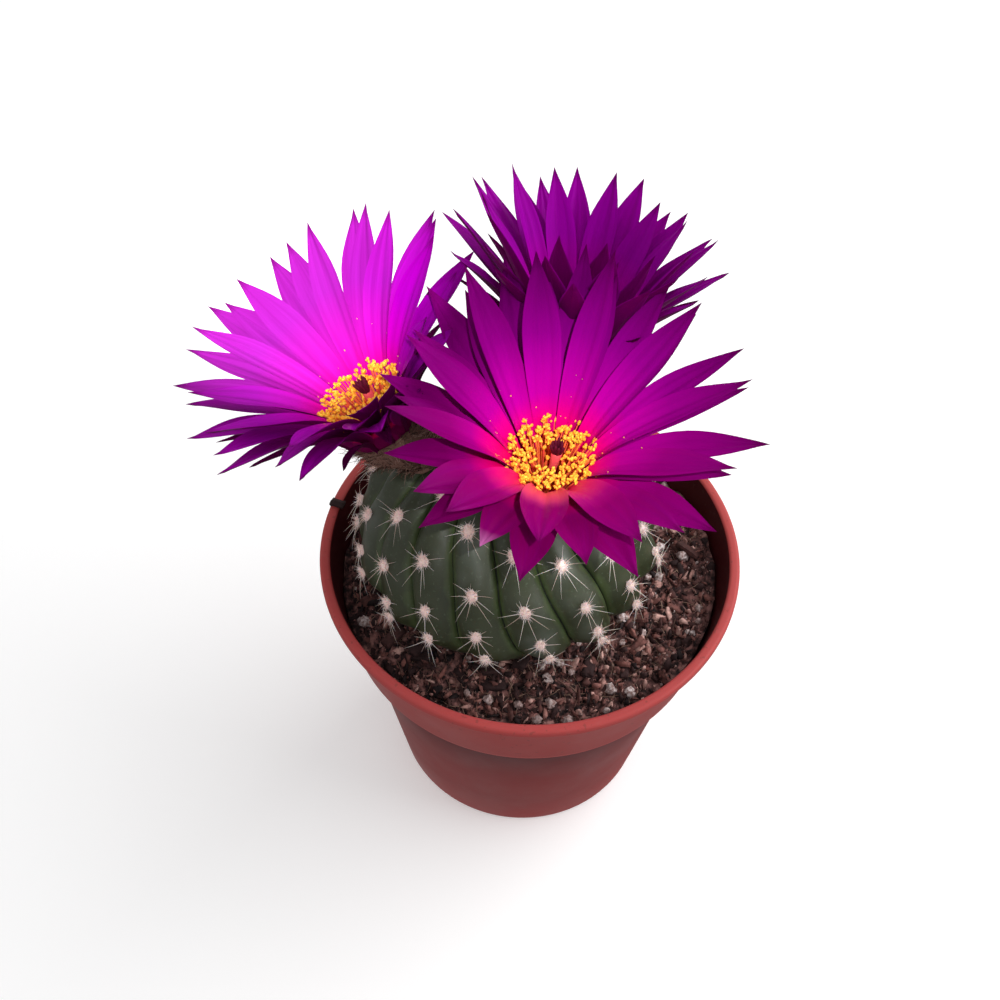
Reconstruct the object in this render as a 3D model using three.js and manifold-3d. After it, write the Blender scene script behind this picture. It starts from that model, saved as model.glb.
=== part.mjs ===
// A round cactus in bloom, standing in the soil of a small plastic nursery pot.
// Millimetres, +Z up. The origin is the centre of the pot's underside, and the
// side that is seen first faces -Y. Every piece is one closed solid, and pieces
// that touch keep CLEARANCE between them.
import * as THREE from 'three';
import { mergeVertices } from 'three/addons/utils/BufferGeometryUtils.js';
import Module from 'manifold-3d';

const CLEARANCE = 0.3;
const AROUND = 40; // facets round the pot and the soil

// Thin-walled pot with a tall collar under a rolled lip.
const POT = {
  height: 66.4, lipRadius: 42.5, lipHeight: 2, lipWidth: 2.5, lipRound: 0.7, wall: 0.9,
  collarTop: 41.1, collarBottom: 37.7, collarFoot: 47.6, shoulder: 2.4, shoulderDrop: 1, shoulderRound: 0.4,
  base: 27.8, baseEdge: 1.1, floor: 1.2,
  drainHoles: 6, drainRadius: 2.5, drainRing: 20.5, drainSides: 10,
};

// Peat filling, lower at the wall and mounded round the plant, with a few coarse grains.
const SOIL = {
  wallLevel: 56.6, moundLevel: 60.2, moundFrom: 22, moundTo: 38, rough: 0.45,
  edgeDrop: 1.5, topRings: [1, 7, 14], bodyGap: 0.8, socketSides: 24,
  grains: 20, grainSize: 1.6, grainRing: 32.5, grainSpread: 5,
};

// Flattened ball with spiral ribs. Polar angles run from the crown, 90 at the equator.
const BODY = {
  x: -5, y: 1.5, equator: 70, radius: 30, up: 24.5, down: 15, crownLean: 5,
  ribs: 17, firstRib: -97, twist: 0.3, furrow: 0.075, furrowFade: 24, furrowShape: 2.2,
  rings: [15, 29, 42, 55, 68, 80, 92, 105, 120, 142], shares: [-0.5, -0.2, 0.2],
  neckRadius: 4.6, neckTop: 55.6, rootTip: 41,
};

// Areoles step down each rib, a quarter step later on each next rib.
const AREOLE = {
  first: 42, step: 24.6, closing: 2.7, stagger: 4, lead: 8, top: 26, bottom: 96,
  width: 1.9, height: 2.3, rise: 1, sunk: 0.5, sides: 5, tubeGap: 3.2,
};
const SPINE = { angles: [-108, -38, 38, 108], length: 7, base: 0.34, lift: 24, jitter: 14, tubeGap: 2.5 };

// A bloom is built round its own axis: x and y across the throat, z out of it.
// Its lifts are angles above the plane of the throat, and sway makes one side steeper.
const BLOOMS = [
  {
    name: 'flower_front', throat: [2.1, -7.6, 99.7], axis: [0.026, -0.102, 0.994], root: [33, -55],
    sway: 4, swaySide: 134, reach: 0.04, reachSide: 9,
    rows: [
      { petals: 11, turn: 2.1, lift: 35.6, length: 36.5 },
      { petals: 12, turn: 7.6, lift: 29.6, length: 33 },
      { petals: 12, turn: 20.7, lift: 24.4, length: 34.5 }],
  },
  {
    name: 'flower_left', throat: [-29.7, 3.4, 101], axis: [-0.448, 0.098, 0.889], root: [33, -175],
    sway: 7, swaySide: 152, reach: 0.1, reachSide: 83,
    rows: [
      { petals: 11, turn: 30.4, lift: 34.7, length: 31.8 },
      { petals: 12, turn: 16.7, lift: 28.6, length: 32 },
      { petals: 12, turn: 24.1, lift: 23.2, length: 33 }],
  },
  {
    name: 'flower_back', throat: [6.2, 18.8, 104.3], axis: [0.105, 0.26, 0.96], root: [33, 50],
    sway: 5, swaySide: 57, reach: 0.03, reachSide: 170,
    rows: [
      { petals: 11, turn: 11.5, lift: 60, length: 30.6 },
      { petals: 12, turn: 5.4, lift: 49, length: 31.3 },
      { petals: 12, turn: 20, lift: 42, length: 30.3 }],
  },
];
const PETAL = {
  width: 7, thick: 0.62, baseLift: 70, baseRadius: 6.5, rowStep: 0.75, rowDrop: 0.7, bend: 2.2, sunk: 1.4,
  waist: 0.34, widest: 0.55, stations: [0, 0.3, 0.65], turnJitter: 5, liftJitter: 4, lengthJitter: 0.08,
};
// Petals that face a neighbouring bloom are pushed up by it, more the nearer it stands.
const CROWD = { lift: 38, near: 30.5, far: 43.5, reach: 0.1 };
const THROAT = {
  rim: 7.6, rimFoot: -0.8, rimHeight: 1.8, inner: 5.7, floorRadius: 4.5, floor: -6.3, wall: 1.1, sides: 16,
};
const TUBE = {
  foot: 6.4, waist: 6.7, pinch: 1.4, sag: 1.6, shoulder: 7.8, shoulderHeight: -3.6, rim: 8.4, top: -2,
  sides: 16, scales: 0.05,
};
const STAMEN = {
  count: 28, thread: 0.34, anther: 1, ringInner: 1.4, ringOuter: 4, ringHeight: 1.1, ringSides: 14,
  rootInner: 1.9, rootOuter: 3.2, rootHeight: 0.4,
  tipInner: 3, tipOuter: 6.15, tipLow: 3, tipHigh: 6.4, tipJitter: 1.4,
};
const PISTIL = { style: 0.8, stigma: 1.5, stigmaFrom: 2.6, top: 8, lean: 0.6, sides: 8, lobe: 0.86 };

const wasm = await Module();
wasm.setup();
const { Manifold } = wasm;

const rad = THREE.MathUtils.degToRad;
const vec = (x, y, z) => new THREE.Vector3(x, y, z);

// Spread of draws between -0.5 and 0.5, the same on every run: the golden ratio
// and its cousins step evenly through the range.
const draw = (i, ratio = 0.618034) => ((i + 1) * ratio) % 1 - 0.5;

// A closed body through rings of points. A ring of one point is a tip, and a
// ring of more at either end is closed flat.
function loft(rings) {
  const points = rings.flat();
  const faces = [];
  const starts = [];
  let count = 0;
  for (const ring of rings) {
    starts.push(count);
    count += ring.length;
  }
  const cap = (start, n, flip) => {
    for (let i = 1; i < n - 1; i++) {
      faces.push(flip ? [start, start + i + 1, start + i] : [start, start + i, start + i + 1]);
    }
  };
  for (let r = 0; r < rings.length - 1; r++) {
    const [a, b] = [starts[r], starts[r + 1]];
    const n = Math.max(rings[r].length, rings[r + 1].length);
    for (let i = 0; i < n; i++) {
      const j = (i + 1) % n;
      if (rings[r].length > 1) faces.push([a + i, a + j, rings[r + 1].length > 1 ? b + j : b]);
      if (rings[r + 1].length > 1) faces.push([rings[r].length > 1 ? a + i : a, b + j, b + i]);
    }
  }
  cap(starts[0], rings[0].length, true);
  cap(starts.at(-1), rings.at(-1).length, false);
  const volume = faces.reduce((sum, [i, j, k]) => sum + points[i].dot(points[j].clone().cross(points[k])), 0);
  if (volume < 0) faces.forEach((face) => face.reverse());
  const geometry = new THREE.BufferGeometry().setFromPoints(points);
  geometry.setIndex(faces.flat());
  return geometry;
}

function solidOf(geometry) {
  const bare = geometry.clone();
  bare.deleteAttribute('normal');
  bare.deleteAttribute('uv');
  const merged = mergeVertices(bare, 1e-5);
  return new Manifold(new wasm.Mesh({
    numProp: 3,
    vertProperties: Float32Array.from(merged.attributes.position.array),
    triVerts: Uint32Array.from(merged.index.array),
  }));
}

// The outer skin of a solid as a geometry: hollows that joining sealed are filled,
// and loose scraps are left out, by keeping only the shell with the largest volume.
function geometryOf(solid) {
  const { vertProperties, triVerts } = solid.getMesh();
  const owner = Array.from({ length: vertProperties.length / 3 }, (_, i) => i);
  const find = (i) => {
    while (owner[i] !== i) i = owner[i] = owner[owner[i]];
    return i;
  };
  for (let t = 0; t < triVerts.length; t += 3) {
    owner[find(triVerts[t])] = find(triVerts[t + 1]);
    owner[find(triVerts[t + 1])] = find(triVerts[t + 2]);
  }
  const corner = (i) => vec(...vertProperties.subarray(3 * i, 3 * i + 3));
  const shells = new Map();
  for (let t = 0; t < triVerts.length; t += 3) {
    const [i, j, k] = triVerts.subarray(t, t + 3);
    const shell = shells.get(find(i)) ?? { volume: 0, faces: [] };
    shell.volume += corner(i).dot(corner(j).cross(corner(k)));
    shell.faces.push(i, j, k);
    shells.set(find(i), shell);
  }
  const main = [...shells.values()].reduce((a, b) => (b.volume > a.volume ? b : a));
  const geometry = new THREE.BufferGeometry();
  geometry.setAttribute('position', new THREE.BufferAttribute(vertProperties, 3));
  geometry.setIndex(main.faces);
  geometry.computeVertexNormals();
  return geometry;
}

// A body of revolution about +Z from [radius, z] points that start and end on the axis.
function turned(profile, sides) {
  const geometry = new THREE.LatheGeometry(profile.map(([r, z]) => new THREE.Vector2(r, z)), sides);
  return solidOf(geometry.rotateX(Math.PI / 2));
}

const parts = new THREE.Group();

function addPart(name, solid, color, roughness) {
  const material = new THREE.MeshStandardMaterial({ color, roughness, metalness: 0, flatShading: true });
  const mesh = new THREE.Mesh(geometryOf(solid), material);
  mesh.name = name;
  parts.add(mesh);
}

// Pot

// Outer radius of the collar at a height.
const collarRadius = (z) => THREE.MathUtils.mapLinear(
  z, POT.collarFoot, POT.height, POT.collarBottom, POT.collarTop);

function potSolid() {
  const { height, lipRadius, lipRound, collarFoot, collarBottom } = POT;
  const { shoulder, shoulderRound, base, baseEdge, wall } = POT;
  const lipFoot = height - POT.lipHeight;
  const lipInner = lipRadius - POT.lipWidth;
  const shoulderFoot = collarFoot - POT.shoulderDrop;
  const outside = [
    [0, 0], [base - baseEdge, 0], [base, baseEdge],
    [collarBottom - shoulder, shoulderFoot], [collarBottom - shoulderRound, collarFoot - shoulderRound],
    [collarBottom, collarFoot + shoulderRound], [collarRadius(lipFoot), lipFoot],
    [lipRadius, lipFoot + lipRound / 2], [lipRadius, height - lipRound], [lipRadius - lipRound, height],
  ];
  const inside = [
    [lipInner + lipRound, height], [lipInner, height - lipRound],
    [collarBottom - wall, collarFoot + wall], [collarBottom - shoulder - wall, shoulderFoot + wall],
    [base - wall, POT.floor], [0, POT.floor],
  ];
  let pot = turned([...outside, ...inside], AROUND);
  for (let i = 0; i < POT.drainHoles; i++) {
    const turn = rad((360 * (i + 0.5)) / POT.drainHoles);
    const drill = new THREE.CylinderGeometry(POT.drainRadius, POT.drainRadius, 4 * POT.floor, POT.drainSides);
    drill.rotateX(Math.PI / 2);
    drill.translate(POT.drainRing * Math.cos(turn), POT.drainRing * Math.sin(turn), POT.floor / 2);
    pot = pot.subtract(solidOf(drill));
  }
  return pot;
}

// Cactus body

const ribAzimuth = (rib, polar) => BODY.firstRib + (360 / BODY.ribs) * rib - BODY.twist * (90 - polar);

// A point on the body: share 0 is a rib's crest, and 0.5 either way a furrow.
function bodyPoint(polar, rib, share, grow = 0) {
  const p = rad(polar);
  const a = rad(ribAzimuth(rib + share, polar));
  const fade = Math.min(1, polar / BODY.furrowFade) * Math.min(1, (180 - polar) / BODY.furrowFade);
  const shallow = THREE.MathUtils.mapLinear(Math.min(Math.max(polar, 50), 90), 50, 90, 1, 0.6);
  const ridge = 1 - BODY.furrow * fade * shallow * Math.abs(2 * share) ** BODY.furrowShape;
  const r = (BODY.radius * ridge + grow) * Math.sin(p);
  const half = (polar < 90 ? BODY.up : BODY.down) + grow;
  return vec(
    BODY.x + r * Math.cos(a),
    BODY.y + r * Math.sin(a) + BODY.crownLean * Math.max(0, Math.cos(p)),
    BODY.equator + half * Math.cos(p) * ridge ** 0.5);
}

// The ribbed ball, its root neck and a blunt root tip, all grown outwards by grow.
function bodyShell(grow) {
  const ring = (polar) => {
    const points = [];
    for (let rib = 0; rib < BODY.ribs; rib++) {
      for (const share of BODY.shares) points.push(bodyPoint(polar, rib, share, grow));
    }
    return points;
  };
  const rings = BODY.rings.map(ring);
  const neck = rings.at(-1).map((p) => {
    const turn = Math.atan2(p.y - BODY.y, p.x - BODY.x);
    const [x, y] = [BODY.x + BODY.neckRadius * Math.cos(turn), BODY.y + BODY.neckRadius * Math.sin(turn)];
    return vec(x, y, BODY.neckTop);
  });
  return loft([[bodyPoint(0, 0, 0, grow)], ...rings, neck, [vec(BODY.x, BODY.y, BODY.rootTip)]]);
}

// The body's own directions at an areole: out of the skin, down the rib and across it.
function bodyFrame(polar, rib) {
  const at = bodyPoint(polar, rib, 0);
  const down = bodyPoint(polar + 2, rib, 0).sub(bodyPoint(polar - 2, rib, 0)).normalize();
  const side = bodyPoint(polar, rib, 0.04).sub(bodyPoint(polar, rib, -0.04)).normalize();
  const out = down.clone().cross(side).normalize();
  if (out.dot(at.clone().sub(vec(BODY.x, BODY.y, BODY.equator))) < 0) out.negate();
  const across = out.clone().cross(down).normalize();
  return { at, out, down, across };
}

// Every areole's frame on the body. Ribs are counted from the one that leads the stagger.
function areoles() {
  const frames = [];
  for (let rib = -AREOLE.lead; rib < BODY.ribs - AREOLE.lead; rib++) {
    const lag = THREE.MathUtils.euclideanModulo(rib, AREOLE.stagger) / AREOLE.stagger;
    for (let k = lag - 1; k <= AREOLE.stagger; k++) {
      const polar = AREOLE.first + AREOLE.step * k - AREOLE.closing * k * k;
      if (polar >= AREOLE.top && polar <= AREOLE.bottom) frames.push(bodyFrame(polar, rib));
    }
  }
  return frames;
}

const offset = (frame, out, down, across) => frame.at.clone()
  .addScaledVector(frame.out, out).addScaledVector(frame.down, down).addScaledVector(frame.across, across);

// A pad of wool on the crest, domed and sunk in the skin.
function woolPad(frame) {
  const rim = Array.from({ length: AREOLE.sides }, (_, i) => {
    const turn = (2 * Math.PI * i) / AREOLE.sides;
    return offset(frame, -AREOLE.sunk, AREOLE.height * Math.cos(turn), AREOLE.width * Math.sin(turn));
  });
  return loft([[offset(frame, -2 * AREOLE.sunk, 0, 0)], rim, [offset(frame, AREOLE.rise, 0, 0)]]);
}

// A three-sided spine, angle being its turn from straight down the rib.
function spine(frame, angle, length) {
  const [cos, sin] = [Math.cos(rad(angle)), Math.sin(rad(angle))];
  const reach = length * Math.cos(rad(SPINE.lift));
  const tip = offset(frame, length * Math.sin(rad(SPINE.lift)) + SPINE.base, reach * cos, reach * sin);
  const foot = (up, side) => offset(frame, up * SPINE.base, -side * SPINE.base * sin, side * SPINE.base * cos);
  return loft([[foot(1.4, 0), foot(0.1, 0.9), foot(0.1, -0.9)], [tip]]);
}

// The body with its wool and spines, left out where a bloom's tube grows.
function bodySolid(tubeFeet) {
  const nearTube = (point, gap) => tubeFeet.some((foot) => foot.distanceTo(point) < TUBE.foot + gap);
  const pieces = [solidOf(bodyShell(0))];
  areoles().forEach((frame, i) => {
    if (nearTube(frame.at, AREOLE.tubeGap)) return;
    pieces.push(solidOf(woolPad(frame)));
    SPINE.angles.forEach((angle, j) => {
      const length = SPINE.length * (1 + 0.25 * draw(7 * i + j));
      const tip = offset(frame, 0, length * Math.cos(rad(angle)), length * Math.sin(rad(angle)));
      if (nearTube(tip, SPINE.tubeGap)) return;
      pieces.push(solidOf(spine(frame, angle + SPINE.jitter * draw(5 * i + j, 0.754878), length)));
    });
  });
  return Manifold.union(pieces);
}

// Soil

function soilLevel(x, y) {
  const fromPlant = Math.hypot(x - BODY.x, y - BODY.y);
  const mound = THREE.MathUtils.smoothstep(fromPlant, SOIL.moundFrom, SOIL.moundTo);
  const bumps = Math.sin(0.47 * x + 1.3) * Math.sin(0.53 * y + 0.4) + 0.6 * Math.sin(0.9 * x - 0.7 * y);
  return THREE.MathUtils.lerp(SOIL.moundLevel, SOIL.wallLevel, mound) + SOIL.rough * bumps;
}

// The hole that the body and its root stand in, as a profile round the body's axis.
function socketProfile() {
  const { bodyGap } = SOIL;
  const under = (r) => [
    r, BODY.equator - (BODY.down + bodyGap) * Math.sqrt(1 - (r / (BODY.radius + bodyGap)) ** 2)];
  const neck = BODY.neckRadius + bodyGap;
  const widest = BODY.radius - 2;
  return [
    [0, BODY.rootTip - bodyGap], [bodyGap, BODY.rootTip - bodyGap], [neck, BODY.neckTop - CLEARANCE],
    under(2 * neck), under(18), under(25), under(widest), [widest, BODY.equator], [0, BODY.equator]];
}

function soilSolid() {
  const ring = (r, z) => Array.from({ length: AROUND }, (_, i) => {
    const turn = (2 * Math.PI * i) / AROUND;
    return vec(r * Math.cos(turn), r * Math.sin(turn), z);
  });
  const topRing = (r) => ring(r, 0).map((p) => p.setZ(soilLevel(p.x, p.y)));
  const gap = POT.wall + 1.5 * CLEARANCE;
  const ledge = POT.collarFoot + POT.wall + CLEARANCE;
  const edge = SOIL.wallLevel - SOIL.edgeDrop;
  const top = collarRadius(edge) - gap;
  let soil = solidOf(loft([
    [vec(0, 0, POT.floor + CLEARANCE)], ring(POT.base - gap, POT.floor + CLEARANCE),
    ring(POT.collarBottom - POT.shoulder - gap, ledge - POT.shoulderDrop),
    ring(POT.collarBottom - gap, ledge), ring(top, edge),
    ...SOIL.topRings.map((inset) => topRing(top - inset)), [vec(0, 0, SOIL.moundLevel)]]));
  for (let i = 0; i < SOIL.grains; i++) {
    const turn = rad(137.5 * i);
    const r = SOIL.grainRing + SOIL.grainSpread * draw(i, 0.569840);
    const [x, y] = [r * Math.cos(turn), r * Math.sin(turn)];
    if (Math.hypot(x - BODY.x, y - BODY.y) < BODY.radius + 1) continue;
    const grain = new THREE.OctahedronGeometry(SOIL.grainSize * (1 + 0.6 * draw(i, 0.754878)));
    grain.rotateX(i).rotateZ(2 * i).translate(x, y, soilLevel(x, y) + 0.2 * SOIL.grainSize);
    soil = soil.add(solidOf(grain));
  }
  return soil.subtract(turned(socketProfile(), SOIL.socketSides).translate([BODY.x, BODY.y, 0]));
}

// Blooms

// The bloom's own frame as a matrix, out of the throat along z.
function bloomFrame(bloom) {
  const z = vec(...bloom.axis).normalize();
  const x = vec(1, 0, 0).addScaledVector(z, -z.x).normalize();
  const y = z.clone().cross(x);
  return new THREE.Matrix4().makeBasis(x, y, z).setPosition(vec(...bloom.throat));
}

// The middle line of a petal as [distance out, height, lift] at a share s of its
// length: steep at its foot, and laid out to its own lift further on.
function midrib(lift, length, row) {
  const steps = 20;
  let [r, h] = [PETAL.baseRadius + PETAL.rowStep * (row - 1), -PETAL.rowDrop * (row - 1)];
  const line = [[r, h, PETAL.baseLift]];
  for (let i = 0; i < steps; i++) {
    const s = (i + 0.5) / steps;
    const angle = rad(lift + (PETAL.baseLift - lift) * (1 - s) ** PETAL.bend);
    r += (length / steps) * Math.cos(angle);
    h += (length / steps) * Math.sin(angle);
    line.push([r, h, THREE.MathUtils.radToDeg(angle)]);
  }
  return (s) => line[Math.round(s * steps)];
}

function petalWidth(s) {
  const half = PETAL.width / 2;
  if (s < PETAL.widest) {
    return half * (PETAL.waist + (1 - PETAL.waist) * Math.sin(((s / PETAL.widest) * Math.PI) / 2) ** 1.2);
  }
  return half * Math.cos((((s - PETAL.widest) / (1 - PETAL.widest)) * Math.PI) / 2) ** 0.8;
}

function petal(turn, lift, length, row) {
  const at = midrib(lift, length, row);
  const [out, side] = [vec(Math.cos(turn), Math.sin(turn), 0), vec(-Math.sin(turn), Math.cos(turn), 0)];
  const station = (s) => {
    const [r, h, angle] = at(s);
    const sunk = s === 0 ? PETAL.sunk : 0;
    const along = out.clone().multiplyScalar(Math.cos(rad(angle))).setZ(Math.sin(rad(angle)));
    const up = along.clone().cross(side).negate();
    const middle = out.clone().multiplyScalar(r).setZ(h).addScaledVector(along, -sunk);
    const corner = (w, t) => middle.clone()
      .addScaledVector(side, w * petalWidth(s)).addScaledVector(up, (t * PETAL.thick) / 2);
    return [corner(-1, 1), corner(1, 1), corner(1, -1), corner(-1, -1)];
  };
  const [tipOut, tipHeight] = at(1);
  return loft([...PETAL.stations.map(station), [out.clone().multiplyScalar(tipOut).setZ(tipHeight)]]);
}

// How much a bloom's neighbours crowd a petal that points along turn, from 0 to 1.
function crowding(bloom, turn) {
  const inverse = bloomFrame(bloom).invert();
  return BLOOMS.filter((other) => other !== bloom).reduce((sum, other) => {
    const toward = vec(...other.throat).applyMatrix4(inverse);
    const nearness = THREE.MathUtils.clamp((CROWD.far - toward.length()) / (CROWD.far - CROWD.near), 0, 1);
    return sum + nearness * Math.max(0, Math.cos(turn - Math.atan2(toward.y, toward.x))) ** 3;
  }, 0);
}

function petals(bloom) {
  const blades = [];
  let number = 0;
  bloom.rows.forEach((row, rowNumber) => {
    for (let i = 0; i < row.petals; i++, number++) {
      const turn = rad(row.turn + (360 * i) / row.petals + PETAL.turnJitter * draw(number));
      const crowd = crowding(bloom, turn);
      const sway = bloom.sway * Math.cos(turn - rad(bloom.swaySide));
      const lift = row.lift + sway + PETAL.liftJitter * draw(number, 0.754878) + CROWD.lift * crowd;
      const reach = bloom.reach * Math.cos(turn - rad(bloom.reachSide)) + CROWD.reach * crowd;
      const length = row.length * (1 + reach + PETAL.lengthJitter * draw(number, 0.569840));
      blades.push(petal(turn, lift, length, rowNumber));
    }
  });
  return blades;
}

// The cup that petals and stamens grow from: its outside, from the axis to the rim.
function throatProfile(grow) {
  const bottom = THROAT.floor - THROAT.wall - grow;
  const bottomRadius = THROAT.floorRadius + 0.6 * THROAT.wall + grow;
  return [[0, bottom], [bottomRadius, bottom], [THROAT.rim + grow, THROAT.rimFoot]];
}

function petalSolid(bloom) {
  const cup = turned([
    ...throatProfile(0), [THROAT.rim, THROAT.rimHeight], [THROAT.inner, THROAT.rimHeight],
    [THROAT.floorRadius, THROAT.floor], [0, THROAT.floor]], THROAT.sides);
  return Manifold.union([cup, ...petals(bloom).map(solidOf)]);
}

// The woolly tube that carries a bloom, from the body's crown to round its throat,
// with its ring of scales as a zigzag that alternates from one ring to the next.
function tubeSolid(frame, foot, skin) {
  const below = foot.clone().applyMatrix4(frame.clone().invert());
  const underThroat = vec(0, 0, THROAT.floor - THROAT.wall);
  const ring = (centre, r, flip) => Array.from({ length: TUBE.sides }, (_, i) => {
    const turn = (2 * Math.PI * i) / TUBE.sides;
    const reach = r * (1 + ((i + flip) % 2 ? -TUBE.scales : TUBE.scales));
    return vec(centre.x + reach * Math.cos(turn), centre.y + reach * Math.sin(turn), centre.z);
  });
  const middle = below.clone().lerp(underThroat, 0.45).addScaledVector(vec(0, 0, 1), -TUBE.sag / 4);
  const outer = solidOf(loft([
    ring(below, TUBE.foot, 0), ring(middle, (TUBE.foot + TUBE.waist) / 2 - TUBE.pinch, 1),
    ring(underThroat, TUBE.waist, 1), ring(vec(0, 0, TUBE.shoulderHeight), TUBE.shoulder, 0),
    ring(vec(0, 0, TUBE.top), TUBE.rim, 1)]));
  const above = THROAT.rimHeight + 2;
  const recess = turned(
    [...throatProfile(CLEARANCE), [THROAT.rim + CLEARANCE, above], [0, above]], THROAT.sides);
  return outer.subtract(recess).transform(frame.elements).subtract(skin);
}

// Threads with pointed anthers that lean out from a ring on the throat's floor.
function stamenSolid() {
  const { ringInner, ringOuter, ringHeight, rootInner, rootOuter } = STAMEN;
  const { tipInner, tipOuter, tipLow, tipHigh, anther } = STAMEN;
  const { lerp } = THREE.MathUtils;
  const foot = THROAT.floor + CLEARANCE;
  const pieces = [turned([
    [ringInner, foot], [ringOuter, foot], [ringOuter, foot + ringHeight], [ringInner, foot + ringHeight],
    [ringInner, foot]], STAMEN.ringSides)];
  for (let i = 0; i < STAMEN.count; i++) {
    const share = Math.sqrt((i + 0.5) / STAMEN.count);
    const turn = rad(137.5 * i);
    const out = vec(Math.cos(turn), Math.sin(turn), 0);
    const side = vec(-Math.sin(turn), Math.cos(turn), 0);
    const root = out.clone().multiplyScalar(lerp(rootInner, rootOuter, share)).setZ(foot + STAMEN.rootHeight);
    const tip = out.clone().multiplyScalar(lerp(tipInner, tipOuter, share))
      .setZ(lerp(tipLow, tipHigh, share) + STAMEN.tipJitter * draw(i, 0.754878));
    const along = tip.clone().sub(root).normalize();
    const across = along.clone().cross(side);
    const triangle = (centre, size) => [rad(90), rad(210), rad(330)].map((corner) => centre.clone()
      .addScaledVector(side, size * Math.cos(corner)).addScaledVector(across, size * Math.sin(corner)));
    pieces.push(solidOf(loft([
      triangle(root, STAMEN.thread), triangle(tip, STAMEN.thread),
      triangle(tip.clone().addScaledVector(along, 0.8 * anther), anther),
      [tip.clone().addScaledVector(along, 1.7 * anther)]])));
  }
  return Manifold.union(pieces);
}

// A slim style under a lobed stigma, leaning a little.
function pistilSolid() {
  const { style, stigma, stigmaFrom, top, lean, sides, lobe } = PISTIL;
  const ring = (r, z) => Array.from({ length: sides }, (_, i) => {
    const turn = (2 * Math.PI * i) / sides;
    const reach = r * (i % 2 ? lobe : 1);
    return vec(reach * Math.cos(turn), reach * Math.sin(turn) + (lean * Math.max(0, z)) / top, z);
  });
  return solidOf(loft([
    ring(style, THROAT.floor + CLEARANCE), ring(style, stigmaFrom), ring(stigma, stigmaFrom + 1.2),
    ring(stigma, top - 1), ring(0.55 * stigma, top)]));
}

// Where each bloom's tube grows out of the body.
const feet = BLOOMS.map(({ root: [polar, azimuth] }) => {
  const rib = (azimuth - BODY.firstRib + BODY.twist * (90 - polar)) / (360 / BODY.ribs);
  return bodyPoint(polar, Math.round(rib), rib - Math.round(rib));
});
const skin = solidOf(bodyShell(CLEARANCE + 0.1));

addPart('pot', potSolid(), 0xa34c48, 0.45);
addPart('soil', soilSolid(), 0x3a2622, 0.95);
addPart('cactus_body', bodySolid(feet), 0x2c3f2b, 0.6);
BLOOMS.forEach((bloom, i) => {
  const frame = bloomFrame(bloom);
  addPart(`${bloom.name}_tube`, tubeSolid(frame, feet[i], skin), 0x7a5a48, 0.9);
  addPart(`${bloom.name}_petals`, petalSolid(bloom).transform(frame.elements), 0xa30a9c, 0.45);
  addPart(`${bloom.name}_stamens`, stamenSolid().transform(frame.elements), 0xf0a020, 0.6);
  addPart(`${bloom.name}_pistil`, pistilSolid().transform(frame.elements), 0x4a0a20, 0.5);
});

export default parts;
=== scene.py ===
import math
import random

import bpy
from mathutils import Matrix, Vector, noise


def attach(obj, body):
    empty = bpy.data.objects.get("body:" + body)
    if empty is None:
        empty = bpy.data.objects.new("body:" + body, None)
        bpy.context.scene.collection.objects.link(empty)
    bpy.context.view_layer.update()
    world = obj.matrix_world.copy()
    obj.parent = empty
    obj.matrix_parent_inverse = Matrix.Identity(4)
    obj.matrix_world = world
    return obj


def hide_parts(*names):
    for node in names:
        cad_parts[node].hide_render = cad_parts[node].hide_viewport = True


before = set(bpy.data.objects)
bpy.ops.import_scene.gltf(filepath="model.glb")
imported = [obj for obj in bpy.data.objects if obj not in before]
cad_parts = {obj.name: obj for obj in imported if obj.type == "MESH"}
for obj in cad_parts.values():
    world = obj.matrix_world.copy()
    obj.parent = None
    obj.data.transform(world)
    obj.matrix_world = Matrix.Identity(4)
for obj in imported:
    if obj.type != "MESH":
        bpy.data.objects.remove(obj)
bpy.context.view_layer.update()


# The pot: thin terracotta-coloured plastic, injection moulded in one piece, with a rolled lip over a
# tall collar, a step under the collar and six drain holes through the floor.

MM = 0.001
POT_HEIGHT = 66.4
LIP_RADIUS = 42.5
LIP_WIDTH = 2.1
LIP_FOOT = 64.4
COLLAR_TOP = 41.1
COLLAR_TUCK = 0.3
COLLAR_BOTTOM = 37.7
COLLAR_FOOT = 47.6
SHOULDER = 2.4
POT_BASE = 27.8
POT_WALL = 0.9
POT_FLOOR = 1.2
DRAIN_HOLES = 6
DRAIN_RADIUS = 2.5
DRAIN_RING = 20.5


def rounded(section, steps=5):
    """A section of [x, z, radius] corners as points, each corner drawn as an arc of its radius."""
    points = []
    for i, (x, z, radius) in enumerate(section):
        corner = Vector((x, z))
        if radius == 0:
            points.append(corner)
            continue
        before = (Vector(section[i - 1][:2]) - corner).normalized()
        after = (Vector(section[i + 1][:2]) - corner).normalized()
        half = before.angle(after) / 2
        sweep = math.pi - 2 * half
        centre = corner + (before + after).normalized() * (radius / math.sin(half))
        start = corner + before * (radius / math.tan(half)) - centre
        end = corner + after * (radius / math.tan(half)) - centre
        for step in range(steps + 1):
            share = step / steps
            arc = start * math.sin((1 - share) * sweep) + end * math.sin(share * sweep)
            points.append(centre + arc / math.sin(sweep))
    return points


def only(piece):
    """Selects one piece alone and makes it the active one, for the operators that follow."""
    bpy.ops.object.select_all(action="DESELECT")
    piece.select_set(True)
    bpy.context.view_layer.objects.active = piece


def apply_modifiers(piece):
    """Turns a piece's modifiers into its mesh."""
    only(piece)
    for modifier in list(piece.modifiers):
        bpy.ops.object.modifier_apply(modifier=modifier.name)


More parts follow.
